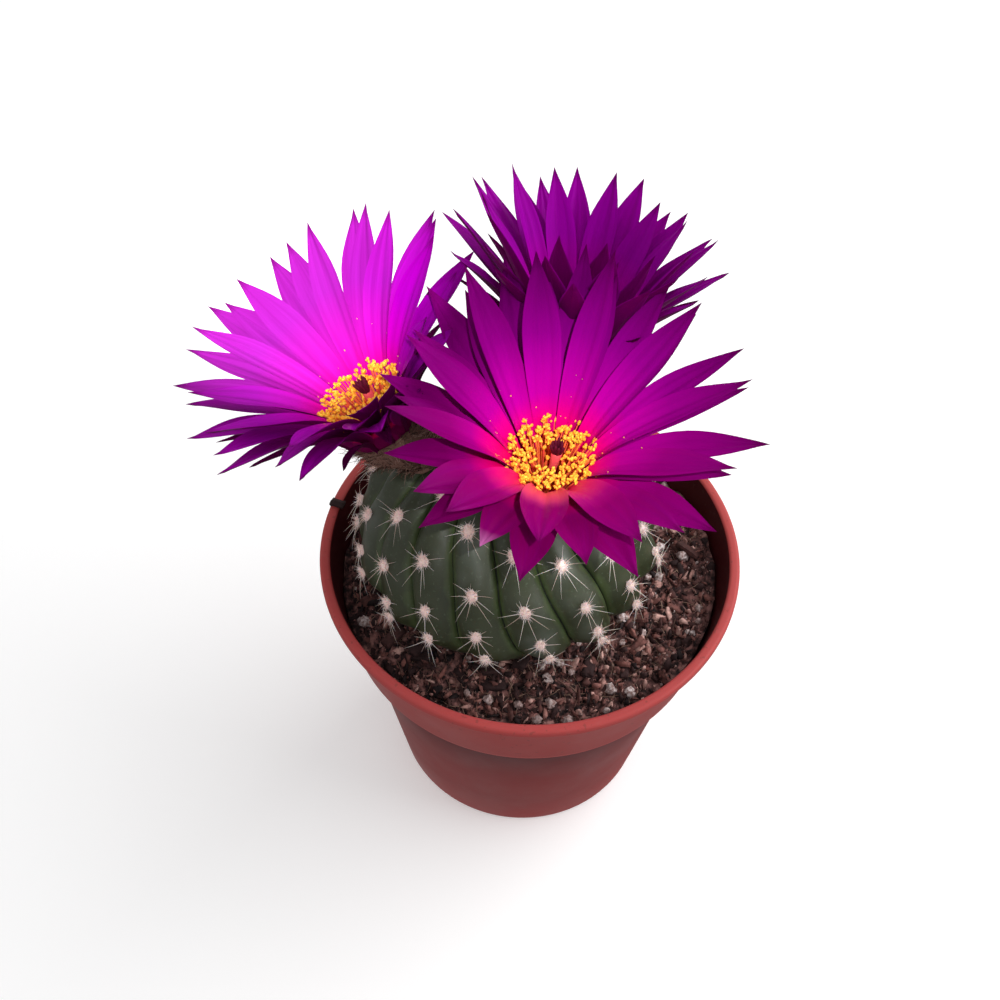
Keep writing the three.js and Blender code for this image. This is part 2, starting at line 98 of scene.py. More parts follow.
def new_piece(name, points, faces=(), edges=()):
    """A mesh object at the origin, from points in millimetres."""
    mesh = bpy.data.meshes.new(name)
    mesh.from_pydata([[c * MM for c in p] for p in points], list(edges), list(faces))
    piece = bpy.data.objects.new(name, mesh)
    bpy.context.scene.collection.objects.link(piece)
    return piece


def spun(name, section, steps):
    """A closed body of revolution: the section is spun round the Z axis, as on a lathe."""
    rim = [(p[0], 0, p[1]) for p in section]
    piece = new_piece(name, rim, edges=[(i, i + 1) for i in range(len(rim) - 1)])
    only(piece)
    bpy.ops.object.mode_set(mode="EDIT")
    bpy.ops.mesh.select_all(action="SELECT")
    bpy.ops.mesh.spin(steps=steps, angle=2 * math.pi, center=(0, 0, 0), axis=(0, 0, 1))
    bpy.ops.mesh.select_all(action="SELECT")
    bpy.ops.mesh.remove_doubles(threshold=0.01 * MM)
    bpy.ops.mesh.normals_make_consistent(inside=False)
    bpy.ops.object.mode_set(mode="OBJECT")
    return piece


class Wire:
    """A node's output in a plain expression: each operator adds the Math node for it."""

    def __init__(self, finish, socket):
        self.finish = finish
        self.socket = socket

    def math(self, operation, first, second):
        return self.finish.node("Math", {"operation": operation}, {0: first, 1: second})

    def __add__(self, other):
        return self.math("ADD", self, other)

    def __radd__(self, other):
        return self.math("ADD", other, self)

    def __sub__(self, other):
        return self.math("SUBTRACT", self, other)

    def __rsub__(self, other):
        return self.math("SUBTRACT", other, self)

    def __mul__(self, other):
        return self.math("MULTIPLY", self, other)

    def __rmul__(self, other):
        return self.math("MULTIPLY", other, self)

    def __pow__(self, other):
        return self.math("POWER", self, other)


class Finish:
    """A material on its Principled shader, and one method that adds any other node."""

    def __init__(self, name, **constants):
        self.material = bpy.data.materials.new(name)
        self.material.use_nodes = True
        self.tree = self.material.node_tree
        self.shader = self.tree.nodes["Principled BSDF"]
        self.set(**constants)

    def set(self, **sockets):
        self.feed(self.shader, {key.replace("_", " "): value for key, value in sockets.items()})

    def feed(self, node, values):
        for key, value in values.items():
            if isinstance(value, Wire):
                self.tree.links.new(value.socket, node.inputs[key])
            elif isinstance(value, tuple) and len(node.inputs[key].default_value) == 4:
                node.inputs[key].default_value = (*value, 1)
            else:
                node.inputs[key].default_value = value

    def node(self, kind, settings=None, values=None, output=0):
        made = self.tree.nodes.new("ShaderNode" + kind)
        for key, value in (settings or {}).items():
            if key == "stops":
                ramp = made.color_ramp.elements
                for place, _ in value[1:-1]:
                    ramp.new(place)
                ramp[0].position, ramp[-1].position = value[0][0], value[-1][0]
                for element, (_, colour) in zip(ramp, value):
                    element.color = (*colour, 1)
            else:
                setattr(made, key, value)
        self.feed(made, values or {})
        return Wire(self, made.outputs[output])

    def place(self):
        return self.node("TexCoord", output="Object")

    def mark(self, name):
        """A value that the mesh holds at each point."""
        return self.node("Attribute", {"attribute_name": name}, output="Fac")

    def noise(self, scale, detail=3, vector=None):
        place = vector or self.place()
        return self.node("TexNoise", {}, {"Vector": place, "Scale": scale, "Detail": detail})

    def ramp(self, factor, *stops):
        return self.node("ValToRGB", {"stops": stops}, {"Fac": factor})

    def fit(self, value, low, high, start=0, end=1):
        """Low to high becomes start to end, and is held beyond them."""
        return self.node("MapRange", {}, {0: value, 1: low, 2: high, 3: start, 4: end})

    def mix(self, share, first, second):
        return self.node("Mix", {"data_type": "RGBA"}, {0: share, 6: first, 7: second}, output=2)

    def bump(self, height, strength, distance):
        return self.node("Bump", {}, {"Height": height, "Strength": strength, "Distance": distance * MM})

    def on(self, piece):
        piece.data.materials.clear()
        piece.data.materials.append(self.material)


pot_section = rounded([
    (0, 0, 0), (POT_BASE, 0, 1.1), (COLLAR_BOTTOM - SHOULDER, COLLAR_FOOT - 1, 1.2),
    (COLLAR_BOTTOM, COLLAR_FOOT, 0.7), (COLLAR_TOP - COLLAR_TUCK, LIP_FOOT, 0.25),
    (LIP_RADIUS, LIP_FOOT + 0.3, 0.4), (LIP_RADIUS, POT_HEIGHT, 0.75),
    (LIP_RADIUS - LIP_WIDTH, POT_HEIGHT, 0.8),
    (COLLAR_BOTTOM - POT_WALL, COLLAR_FOOT + POT_WALL, 0.6),
    (COLLAR_BOTTOM - SHOULDER - POT_WALL, COLLAR_FOOT - 1 + POT_WALL, 0.6),
    (POT_BASE - POT_WALL, POT_FLOOR, 0.6), (0, POT_FLOOR, 0)])
pot = spun("pot_moulded", pot_section, 192)
for hole in range(DRAIN_HOLES):
    turn = 2 * math.pi * (hole + 0.5) / DRAIN_HOLES
    bpy.ops.mesh.primitive_cylinder_add(
        vertices=32, radius=DRAIN_RADIUS * MM, depth=8 * MM,
        location=(DRAIN_RING * MM * math.cos(turn), DRAIN_RING * MM * math.sin(turn), 0))
    drill = bpy.context.active_object
    cut = pot.modifiers.new("drain", "BOOLEAN")
    cut.operation = "DIFFERENCE"
    cut.object = drill
    apply_modifiers(pot)
    bpy.data.objects.remove(drill)
only(pot)
bpy.ops.object.shade_smooth_by_angle(angle=math.radians(40))

inner_marks = []
for vertex in pot.data.vertices:
    across = vertex.co.to_2d().length / MM
    z = vertex.co.z / MM
    up_collar = (z - COLLAR_FOOT) / (LIP_FOOT - COLLAR_FOOT)
    wall_middle = COLLAR_BOTTOM + (COLLAR_TOP - COLLAR_BOTTOM) * up_collar - 0.6
    inner_marks.append(float(POT_FLOOR < z < POT_HEIGHT - 0.3 and across < wall_middle))
pot.data.attributes.new("inner", "FLOAT", "POINT").data.foreach_set("value", inner_marks)

plastic = Finish("terracotta_plastic", Specular_IOR_Level=0.12,
                 Subsurface_Weight=0.1, Subsurface_Scale=0.002)
height = plastic.node("SeparateXYZ", {}, {0: plastic.place()}, output=2) * (1 / (POT_HEIGHT * MM))
scuffs = plastic.fit(plastic.noise(420, 2), 0.62, 0.72)
soil_specks = plastic.fit(plastic.noise(900, 2), 0.66, 0.7) * plastic.fit(height, 0.6, 0.85)
worn = plastic.mix(plastic.noise(28, 4), (0.33, 0.05, 0.05), (0.5, 0.078, 0.076))
# Painted light: the wall is made lighter up to the collar's foot, against the shade the collar casts.
painted_light_under_collar = plastic.fit(height, 0.2, 0.71) * plastic.fit(height, 0.71, 0.73, 1, 0)
wall = plastic.mix(painted_light_under_collar, worn, (0.88, 0.13, 0.128))
# Painted light: the collar and lip are a flat, slightly lighter red than the wall below them.
lip_painted_lighter = plastic.mix(plastic.fit(height, 0.7, 0.93), wall, (0.46, 0.072, 0.07))
scuffed = plastic.mix(scuffs * 0.1, lip_painted_lighter, (0.4, 0.16, 0.14))
# The inside of the wall is made nearly black: partly a soil stain and partly painted shade.
soil_stain_and_painted_shade = plastic.mix(plastic.mark("inner"), scuffed, (0.06, 0.008, 0.01))
plastic.set(
    Base_Color=plastic.mix(soil_specks * 0.35, soil_stain_and_painted_shade, (0.1, 0.05, 0.04)),
    Roughness=plastic.fit(plastic.noise(60, 5), 0.3, 0.7, 0.34, 0.5),
    Normal=plastic.bump(plastic.noise(1500, 2), 0.06, 0.1))
plastic.on(pot)
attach(pot, "root")
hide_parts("pot")


# The soil: damp peat pressed into the pot, mounded round the plant and banked up at the wall on the
# right, with loose crumbs, white perlite, bark chips and fibres lying on it.

SOIL_WALL = 56.6
SOIL_MOUND = 60.2
MOUND_TOP = 22
MOUND_SLOPE = 16
SOIL_BANK = 3
BANK_RADIUS = 38
SOIL_GAP = 0.5
SOIL_UP_COLLAR = 0.45
SOIL_SIDES = 220
SOIL_RINGS = 72
GROUND_RADIUS = 37.6
PLANT_RADIUS = 23.6
CRUMBS = 6500
CHIPS = 44
FIBRES = 420
FIBRE_MARGIN = 0.6
PERLITE_GRAINS = 620
BODY_X = -4.5
BODY_Y = 1.5
BODY_EQUATOR = 70
BODY_RADIUS = 29.2
BODY_DOWN = 15
BODY_CLEARANCE = 0.4
dice = random.Random(5)


def soil_level(x, y):
    """Height of the ground, which under the plant stays just clear of its body."""
    away = math.hypot(x - BODY_X, y - BODY_Y)
    slope = min(1, max(0, (away - MOUND_TOP) / MOUND_SLOPE))
    level = SOIL_MOUND + (SOIL_WALL - SOIL_MOUND) * slope * slope * (3 - 2 * slope)
    level += SOIL_BANK * slope * max(0, x / BANK_RADIUS) ** 1.5
    waves = math.sin(0.47 * x + 1.3) * math.sin(0.53 * y + 0.4) + 0.6 * math.sin(0.9 * x - 0.7 * y)
    level += 0.45 * waves
    for size, rise in ((3.2, 1.1), (1.1, 0.7), (0.45, 0.5)):
        level += rise * noise.noise((x / size, y / size, size))
    if away < BODY_RADIUS - 1:
        share = away / (BODY_RADIUS + BODY_CLEARANCE)
        under = BODY_EQUATOR - (BODY_DOWN + BODY_CLEARANCE) * math.sqrt(1 - share ** 2)
        level = min(level, under - 0.2)
    return level


def circle(r, z, sides):
    """A level ring of points round the Z axis."""
    turns = [2 * math.pi * i / sides for i in range(sides)]
    return [Vector((r * math.cos(t), r * math.sin(t), z)) for t in turns]


def loft(rings):
    """Points and faces of a closed body through rings of points. A ring of one point is a tip."""
    points, starts, faces = [], [], []
    for ring in rings:
        starts.append(len(points))
        points += ring
    for k in range(len(rings) - 1):
        a, b = starts[k], starts[k + 1]
        sides = max(len(rings[k]), len(rings[k + 1]))
        for i in range(sides):
            j = (i + 1) % sides
            if len(rings[k]) == 1:
                faces.append((a, b + j, b + i))
            elif len(rings[k + 1]) == 1:
                faces.append((a + i, a + j, b))
            else:
                faces.append((a + i, a + j, b + j, b + i))
    if len(rings[0]) > 1:
        faces.append(tuple(reversed(range(len(rings[0])))))
    if len(rings[-1]) > 1:
        faces.append(tuple(range(starts[-1], len(points))))
    return points, faces


class Pile:
    """Points and faces of many like bits, gathered for one mesh, with named values at each point."""

    def __init__(self):
        self.points = []
        self.faces = []
        self.marks = {}

    def add(self, shape, place=None, **marks):
        """Adds a shape's points and faces, moved by the matrix place. A mark is one value or a list."""
        points, faces = shape
        start = len(self.points)
        self.points += [place @ p for p in points] if place else points
        self.faces += [tuple(start + i for i in face) for face in faces]
        for name, value in marks.items():
            values = value if isinstance(value, list) else [value] * len(points)
            self.marks.setdefault(name, []).extend(values)

    def piece(self, name):
        """The pile as a smooth-shaded object."""
        piece = new_piece(name, self.points, self.faces)
        for mark, values in self.marks.items():
            piece.data.attributes.new(mark, "FLOAT", "POINT").data.foreach_set("value", values)
        piece.data.polygons.foreach_set("use_smooth", [True] * len(self.faces))
        return piece


def model_of(piece):
    """A modelled bit as points and faces, for copies of it. The model itself is removed."""
    points = [v.co.copy() for v in piece.data.vertices]
    faces = [tuple(face.vertices) for face in piece.data.polygons]
    bpy.data.objects.remove(piece)
    return points, faces


def lump(subdivisions, roughness, seed):
    """A crumb 1 across: a ball whose points are pushed about at random."""
    bpy.ops.object.select_all(action="DESELECT")
    bpy.ops.mesh.primitive_ico_sphere_add(subdivisions=subdivisions, radius=0.5)
    bpy.ops.object.mode_set(mode="EDIT")
    bpy.ops.mesh.select_all(action="SELECT")
    bpy.ops.transform.vertex_random(offset=roughness, uniform=0.6, seed=seed)
    bpy.ops.object.mode_set(mode="OBJECT")
    return model_of(bpy.context.active_object)


def chip(seed):
    """A bark chip 1 long: a slab, cut across and broken at its ends."""
    bpy.ops.object.select_all(action="DESELECT")
    bpy.ops.mesh.primitive_cube_add(size=1)
    bpy.ops.object.mode_set(mode="EDIT")
    bpy.ops.mesh.select_all(action="SELECT")
    bpy.ops.transform.resize(value=(1, 0.45, 0.18))
    bpy.ops.mesh.subdivide(number_cuts=2)
    bpy.ops.transform.vertex_random(offset=0.07, uniform=0.4, seed=seed)
    bpy.ops.object.mode_set(mode="OBJECT")
    return model_of(bpy.context.active_object)


def laid(x, y, z, length, width, depth, tilt):
    """A matrix that sizes a bit and lays it down at a place, turned any way and tilted a little."""
    turn = Matrix.Rotation(dice.uniform(0, 2 * math.pi), 4, "Z")
    forth = Matrix.Rotation(dice.uniform(-tilt, tilt), 4, "X")
    aside = Matrix.Rotation(dice.uniform(-tilt, tilt), 4, "Y")
    size = Matrix.Diagonal((length, width, depth, 1))
    return Matrix.Translation((x, y, z)) @ (forth @ aside) @ turn @ size


def strand(path, radii, sides=3):
    """A round thread through the points of a path. It ends in a tip where its last radius is 0."""
    along = (path[-1] - path[0]).normalized()
    side = along.orthogonal().normalized()
    across = along.cross(side)
    turns = [2 * math.pi * i / sides for i in range(sides)]
    rings = []
    for centre, radius in zip(path, radii):
        ring = [centre + radius * (math.cos(t) * side + math.sin(t) * across) for t in turns]
        rings.append(ring if radius else [centre])
    return loft(rings)


def ground_spot(lean=0.0):
    """A place on the ground between the plant and the wall, more often to the right as lean grows."""
    while True:
        turn = dice.uniform(0, 2 * math.pi)
        r = GROUND_RADIUS * math.sqrt(dice.uniform(0, 1))
        x, y = r * math.cos(turn), r * math.sin(turn)
        if math.hypot(x - BODY_X, y - BODY_Y) > PLANT_RADIUS:
            if dice.random() > lean * (0.5 - 0.5 * x / GROUND_RADIUS):
                return x, y, soil_level(x, y)


soil_edge = COLLAR_BOTTOM + (COLLAR_TOP - COLLAR_BOTTOM) * SOIL_UP_COLLAR - POT_WALL
soil_rings = [
    circle(POT_BASE - POT_WALL - SOIL_GAP, POT_FLOOR + 0.3, SOIL_SIDES),
    circle(COLLAR_BOTTOM - SHOULDER - POT_WALL - SOIL_GAP, COLLAR_FOOT + 0.2, SOIL_SIDES),
    circle(COLLAR_BOTTOM - POT_WALL - SOIL_GAP, COLLAR_FOOT + 1.3, SOIL_SIDES)]
for ring in range(SOIL_RINGS):
    top = circle(soil_edge * (1 - ring / SOIL_RINGS), 0, SOIL_SIDES)
    soil_rings.append([Vector((p.x, p.y, soil_level(p.x, p.y))) for p in top])
ground = Pile()
ground.add(loft(soil_rings))
soil = ground.piece("soil_peat")

crumb_models = [lump(1, 0.3, seed) for seed in range(5)]
crumbs = Pile()
for i in range(CRUMBS):
    x, y, z = ground_spot()
    size = 0.3 + 1.9 * dice.random() ** 4
    length = size * dice.uniform(0.8, 2.3)
    depth = size * dice.uniform(0.3, 0.7)
    place = laid(x, y, z + 0.15 * size, length, 0.85 * size, depth, tilt=1.5)
    # Painted light: the crumbs are paler on the lit right and darker on the shaded left.
    painted_light_to_the_right = 1 - 0.012 * x
    crumbs.add(crumb_models[i % 5], place, tone=dice.random() ** painted_light_to_the_right)
chip_models = [chip(seed) for seed in range(4)]
for i in range(CHIPS):
    x, y, z = ground_spot()
    size = dice.uniform(2, 5.5)
    place = laid(x, y, z + 0.3, size, size, size, tilt=0.4)
    crumbs.add(chip_models[i % 4], place, tone=dice.uniform(0.2, 0.7))
on_the_lip = Matrix.Translation((-39.9, 9.4, POT_HEIGHT + 0.3)) @ Matrix.Rotation(2.8, 4, "Z")
crumbs.add(chip_models[0], on_the_lip @ Matrix.Diagonal((2.9, 3.4, 4.2, 1)), tone=0.2)
soil_crumbs = crumbs.piece("soil_crumbs")

fibres = Pile()
for i in range(FIBRES):
    x, y, z = ground_spot()
    turn, curl = dice.uniform(0, 2 * math.pi), dice.uniform(-0.5, 0.5)
    path = []
    for step in range(5):
        path.append(Vector((x, y, soil_level(x, y) + 0.35 + 0.25 * (step % 2))))
        turn += curl
        x, y = x + 1.1 * math.cos(turn), y + 1.1 * math.sin(turn)
    off_wall = math.hypot(x, y) < GROUND_RADIUS - FIBRE_MARGIN
    off_plant = math.hypot(x - BODY_X, y - BODY_Y) > PLANT_RADIUS - FIBRE_MARGIN
    if off_wall and off_plant:
        fibres.add(strand(path, [0.07, 0.08, 0.07, 0.06, 0]), tone=dice.random())
soil_fibres = fibres.piece("soil_fibres")

perlite_models = [lump(2, 0.22, seed) for seed in range(10, 14)]
perlite = Pile()
for i in range(PERLITE_GRAINS):
    x, y, z = ground_spot(lean=0.85)
    size = 0.24 + 2.3 * dice.random() ** 12
    place = laid(x, y, z + 0.3 * size, size, size, size, tilt=3)
    perlite.add(perlite_models[i % 4], place, tone=dice.random())
soil_perlite = perlite.piece("soil_perlite")

peat = Finish("damp_peat", Roughness=0.92)
grain = peat.noise(700, 6)
peat.set(
    Base_Color=peat.mix(
        peat.fit(peat.noise(90, 4), 0.35, 0.7),
        peat.ramp(grain, (0.4, (0.006, 0.002, 0.003)), (0.52, (0.08, 0.03, 0.027)),
                  (0.66, (0.4, 0.18, 0.16))),
        peat.ramp(grain, (0.35, (0.025, 0.009, 0.009)), (0.7, (0.42, 0.2, 0.18)))),
    Normal=peat.bump(grain, 0.9, 0.6))
peat.on(soil)
bark = Finish("bark_crumbs", Roughness=0.88)
bark_grain = bark.noise(1100, 5)
bark.set(
    Base_Color=bark.mix(
        bark.fit(bark_grain, 0.35, 0.7, 0, 0.6),
        bark.ramp(bark.mark("tone"), (0, (0.007, 0.002, 0.003)), (0.45, (0.055, 0.018, 0.017)),
                  (0.8, (0.36, 0.14, 0.115)), (1, (1.0, 0.6, 0.52))),
        (0.012, 0.004, 0.005)),
    Normal=bark.bump(bark_grain, 0.8, 0.3))
bark.on(soil_crumbs)
fibre = Finish("plant_fibre", Roughness=0.8)
fibre.set(Base_Color=fibre.ramp(fibre.mark("tone"), (0, (0.12, 0.06, 0.045)), (1, (0.4, 0.25, 0.18))))
fibre.on(soil_fibres)
grit = Finish("perlite_grit", Roughness=0.85)
pits = grit.noise(1600, 4)
white = grit.mix(grit.mark("tone"), (0.62, 0.46, 0.44), (0.9, 0.8, 0.79))
grit.set(
    Base_Color=grit.mix(grit.fit(pits, 0.4, 0.65), (0.32, 0.2, 0.18), white),
    Normal=grit.bump(pits, 0.7, 0.25))
grit.on(soil_perlite)
for piece in (soil, soil_crumbs, soil_fibres, soil_perlite):
    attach(piece, "root")
    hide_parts("soil")


# The plant's body: one grown ball of waxy dark green flesh with low spiral ribs, swollen under
# each areole and parted by narrow creases, on a root neck that stands in the soil.

BODY_UP = 24.5
CROWN_LEAN = 5
RIBS = 17
FIRST_RIB = -97
TWIST = 0.3
FURROW = 0.075
NECK_RADIUS = 4.6
NECK_TOP = 55.6
ROOT_TIP = 41
RIB_SHARES = (-0.5, -0.486, -0.465, -0.43, -0.36, -0.26, -0.14, 0, 0.14, 0.26, 0.36, 0.43, 0.465, 0.486)
BODY_RINGS = 116
LOWEST_RING = 150
FIRST_AREOLE = 42
AREOLE_STEP = 24.6
AREOLE_CLOSING = 2.7
HUMP_HEIGHT = 0.9
CREASE_DEPTH = 0.65


def areole_polars(rib):
    """Where the areoles of one rib sit, as angles from the crown: a quarter step later on each rib."""
    lag = (rib % 4) / 4
    steps = [lag - 1 + k for k in range(6) if lag - 1 + k <= 4]
    polars = [FIRST_AREOLE + AREOLE_STEP * k - AREOLE_CLOSING * k * k for k in steps]
    return [polar for polar in polars if 26 <= polar <= 96]


def body_point(polar, rib, share=0.0, grow=0.0):
    """A point on the ribbed ball: share 0 is a rib's crest, and 0.5 either way a furrow."""
    p = math.radians(polar)
    waver = 0.9 * math.sin(0.13 * polar + 10 * math.pi / RIBS * (rib + share))
    a = math.radians(FIRST_RIB + 360 / RIBS * (rib + share) - TWIST * (90 - polar) + waver)
    fade = min(1, polar / 24) * min(1, (180 - polar) / 24)
    shallow = 1 - 0.4 * min(1, max(0, (polar - 50) / 40))
    ridge = 1 - FURROW * fade * shallow * abs(2 * share) ** 2.2
    r = (BODY_RADIUS * ridge + grow) * math.sin(p)
    half = (BODY_UP if polar < 90 else BODY_DOWN) + grow
    return Vector((
        BODY_X + r * math.cos(a),
        BODY_Y + r * math.sin(a) + CROWN_LEAN * max(0, math.cos(p)),
        BODY_EQUATOR + half * math.cos(p) * math.sqrt(ridge)))


def swelling(polar, rib, share):
    """How far the flesh stands proud: humps below the areoles, less a crease along the furrow."""
    hump = sum(math.exp(-((polar - at - 3) / 7.5) ** 2) for at in areole_polars(rib))
    crease = math.exp(-((0.5 - abs(share)) / 0.03) ** 2) * min(1, polar / 30)
    unevenness = noise.noise((0.7 * rib, 4 * share, 0.09 * polar))
    rise = HUMP_HEIGHT * hump * max(0, math.cos(math.pi * share)) ** 1.5
    return rise - CREASE_DEPTH * crease + 0.18 * unevenness


# Rib 0 is the one in front.
ribs = range(-8, RIBS - 8)
flesh_rings = [[Vector((BODY_X, BODY_Y, ROOT_TIP))]]
furrow_marks = [0.0]
hump_marks = [0.0]
for ring in range(BODY_RINGS + 1):
    polar = LOWEST_RING * (1 - ring / BODY_RINGS)
    points = []
    for rib in ribs if polar else ():
        for share in RIB_SHARES:
            points.append(body_point(polar, rib, share, swelling(polar, rib, share)))
            furrow_marks.append(abs(2 * share))
            nearness = sum(math.exp(-((polar - at) / 5) ** 2) for at in areole_polars(rib))
            hump_marks.append(min(1, nearness))
    if ring == 0:
        neck = []
        for point in points:
            turn = math.atan2(point.y - BODY_Y, point.x - BODY_X)
            x, y = BODY_X + NECK_RADIUS * math.cos(turn), BODY_Y + NECK_RADIUS * math.sin(turn)
            neck.append(Vector((x, y, NECK_TOP)))
        flesh_rings.append(neck)
        furrow_marks += [0.0] * len(neck)
        hump_marks += [0.0] * len(neck)
    flesh_rings.append(points or [body_point(0, 0)])
furrow_marks.append(0.0)
hump_marks.append(0.0)
flesh = Pile()
flesh.add(loft(flesh_rings), furrow=furrow_marks, hump=hump_marks)
body = flesh.piece("cactus_flesh")

waxy = Finish("waxy_green_skin", Specular_IOR_Level=0.45, Subsurface_Weight=0.08, Subsurface_Scale=0.002)
furrow = waxy.mark("furrow")
mottle = waxy.noise(160, 5)
green = waxy.mix(mottle, (0.022, 0.028, 0.012), (0.044, 0.053, 0.022))
wavy = furrow + waxy.fit(waxy.noise(240, 4), 0.3, 0.7, -0.1, 0.1)
valley = waxy.mix(waxy.fit(wavy, 0.72, 0.93), green, (0.062, 0.088, 0.03))
# Painted shade: a near-black line down the bottom of each furrow.
painted_shade_in_crease = waxy.mix(waxy.fit(furrow, 0.95, 0.99), valley, (0.006, 0.009, 0.004))
# Pale grey wax bloom on the crests, made stronger on the humps as a painted highlight.
hazy = waxy.fit(waxy.noise(62, 5), 0.48, 0.62, 0, 0.6) * waxy.fit(furrow, 0.3, 0.75, 1, 0.15)
wax_bloom_and_painted_highlight = waxy.mix(hazy * waxy.fit(waxy.mark("hump"), 0, 1, 0.45, 1), painted_shade_in_crease, (0.13, 0.145, 0.125))
waxy.set(
    Base_Color=waxy.mix(waxy.fit(waxy.noise(1400, 2), 0.62, 0.7, 0, 0.35), wax_bloom_and_painted_highlight, (0.1, 0.13, 0.08)),
    Roughness=waxy.fit(mottle, 0.3, 0.7, 0.36, 0.56),
    Normal=waxy.bump(waxy.noise(900, 4), 0.25, 0.12))
waxy.on(body)
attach(body, "root")
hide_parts("cactus_body")


# The areoles: a tuft of pinkish white wool on each swelling, with eight or nine thin spines that
# grow out of it like a star, bend a little and lie close to the skin. None grow under a bloom's tube.

SPINE_ANGLES = (0, 33, -33, 72, -72, 112, -112, 150, -150)
TUFT_HAIRS = 170
TUBE_FOOT = 6.4
dice = random.Random(11)

# Angles are in degrees. "root" is the tube's foot on the body, "sway" and "reach" lift and lengthen
# the petals towards a side, and "push" is how far each neighbour lifts them. "stunt" and "turned"
# shorten and turn those that face a neighbour, and "broad" widens some. The two shares of colour
# that follow are a redder, darker tone, which is partly painted shade, and a painted highlight on
# the sunlit petals. Each of the "rows" is a whorl's number of petals, first turn, lift and length.
BLOOMS = [
    {"name": "front", "throat": (2.1, -7.6, 99.7), "axis": (0.026, -0.102, 0.994), "root": (33, -55),
     "sway": 4, "sway_side": 134, "reach": 0.04, "reach_side": 9, "width": 5.9,
     "push": {"left": 8, "back": 34}, "stunt": 0, "turned": 0, "broad": 0.32, "warm": 1.0, "pale": 0.0,
     "rows": ((11, 2.1, 35.6, 36.5), (12, 7.6, 29.6, 33), (12, 20.7, 24.4, 34.5))},
    {"name": "left", "throat": (-29.7, 3.4, 101), "axis": (-0.448, 0.098, 0.889), "root": (33, -175),
     "sway": 7, "sway_side": 152, "reach": 0.1, "reach_side": 83, "width": 6,
     "push": {"front": 16, "back": 0}, "stunt": 0.45, "turned": 1.2, "broad": 0, "warm": 0.1, "pale": 1.0,
     "rows": ((11, 30.4, 34.7, 31.8), (12, 16.7, 28.6, 32), (12, 24.1, 23.2, 33))},
    {"name": "back", "throat": (6.2, 18.8, 104.3), "axis": (0.105, 0.26, 0.96), "root": (33, 50),
     "sway": 5, "sway_side": 57, "reach": 0.055, "reach_side": 170, "width": 6,
     "push": {"front": 18, "left": 0}, "stunt": 0, "turned": 0, "broad": 0, "warm": 0.2, "pale": 0.0,
     "rows": ((11, 11.5, 60, 30.6), (12, 5.4, 49, 31.3), (12, 20, 42, 30.3))},
]


def skin_seat(polar, rib):
    """The frame of a place on a crest: x down the rib, y across it and z out of the skin."""
    at = body_point(polar, rib, 0, swelling(polar, rib, 0))
    down = (body_point(polar + 2, rib) - body_point(polar - 2, rib)).normalized()
    side = body_point(polar, rib, 0.04) - body_point(polar, rib, -0.04)
    out = down.cross(side).normalized()
    if out.dot(at - Vector((BODY_X, BODY_Y, BODY_EQUATOR))) < 0:
        out.negate()
    across = out.cross(down).normalized()
    seat = Matrix((down, across, out)).transposed().to_4x4()
    seat.translation = at
    return seat


def tube_root(bloom):
    """Where a bloom's tube grows out of the body."""
    polar, azimuth = bloom["root"]
    rib = (azimuth - FIRST_RIB + TWIST * (90 - polar)) * RIBS / 360
    return body_point(polar, round(rib), rib - round(rib))


def hair(root, lean, length, width, droop):
    """A fine tapering hair that leaves its root along lean and bends towards droop."""
    lean = lean.normalized()
    path = [root + lean * length * s + droop * length * s * s for s in (0, 0.35, 0.7, 1)]
    return strand(path, [0.5 * width, 0.42 * width, 0.28 * width, 0])


def anyway(spread):
    """A short step in any direction."""
    return Vector((dice.uniform(-1, 1), dice.uniform(-1, 1), dice.uniform(-1, 1))) * spread


areoles = [(polar, rib) for rib in ribs for polar in areole_polars(rib)]
tuft_models = [lump(2, 0.13, seed) for seed in range(20, 24)]
wool = Pile()
spines = Pile()
roots = [tube_root(bloom) for bloom in BLOOMS]
for number, (polar, rib) in enumerate(areoles):
    seat = skin_seat(polar, rib)
    clear = min((root - seat.translation).length for root in roots)
    if clear < TUBE_FOOT + 1.5:
        continue
    size = 1.4 - 0.0055 * polar
    core = Matrix.Translation((0, 0, 0.1)) @ Matrix.Diagonal((2.3 * size, 1.8 * size, 1.4 * size, 1))
    wool.add(tuft_models[number % 4], seat @ core, tone=0.35)
    for i in range(TUFT_HAIRS):
        turn, r = dice.uniform(0, 2 * math.pi), math.sqrt(dice.random())
        foot = Vector((0.95 * r * math.cos(turn), 0.7 * r * math.sin(turn), 0.35)) * size
        lean = Vector((1.1 * r * math.cos(turn), 1.1 * r * math.sin(turn), 0.6)) + anyway(0.7)
        tuft = hair(foot, lean, size * dice.uniform(0.4, 1.2), 0.1, anyway(0.7))
        wool.add(tuft, seat, tone=dice.random())
    for angle in SPINE_ANGLES[:8 + number % 2]:
        turn = math.radians(angle + dice.uniform(-13, 13))
        lift = math.radians(dice.uniform(8, 32))
        lean = Vector((math.cos(turn) * math.cos(lift), math.sin(turn) * math.cos(lift), math.sin(lift)))
        length = dice.uniform(4.2, 7) * size * (1 - abs(angle) / 420)
        tip = seat @ (lean * length)
        if min((root - tip).length for root in roots) < TUBE_FOOT:
            continue
        bend = Vector((dice.uniform(0, 0.9), dice.uniform(-0.7, 0.7), -0.5))
        foot = Vector((0, 0, 0.35))
        path = [seat @ (lean * length * s + bend * s * s + foot) for s in (0, 0.25, 0.5, 0.75, 1)]
        spines.add(strand(path, [0.075, 0.07, 0.055, 0.04, 0.012], 4), tone=dice.random())
areole_wool = wool.piece("areole_wool")
areole_spines = spines.piece("areole_spines")
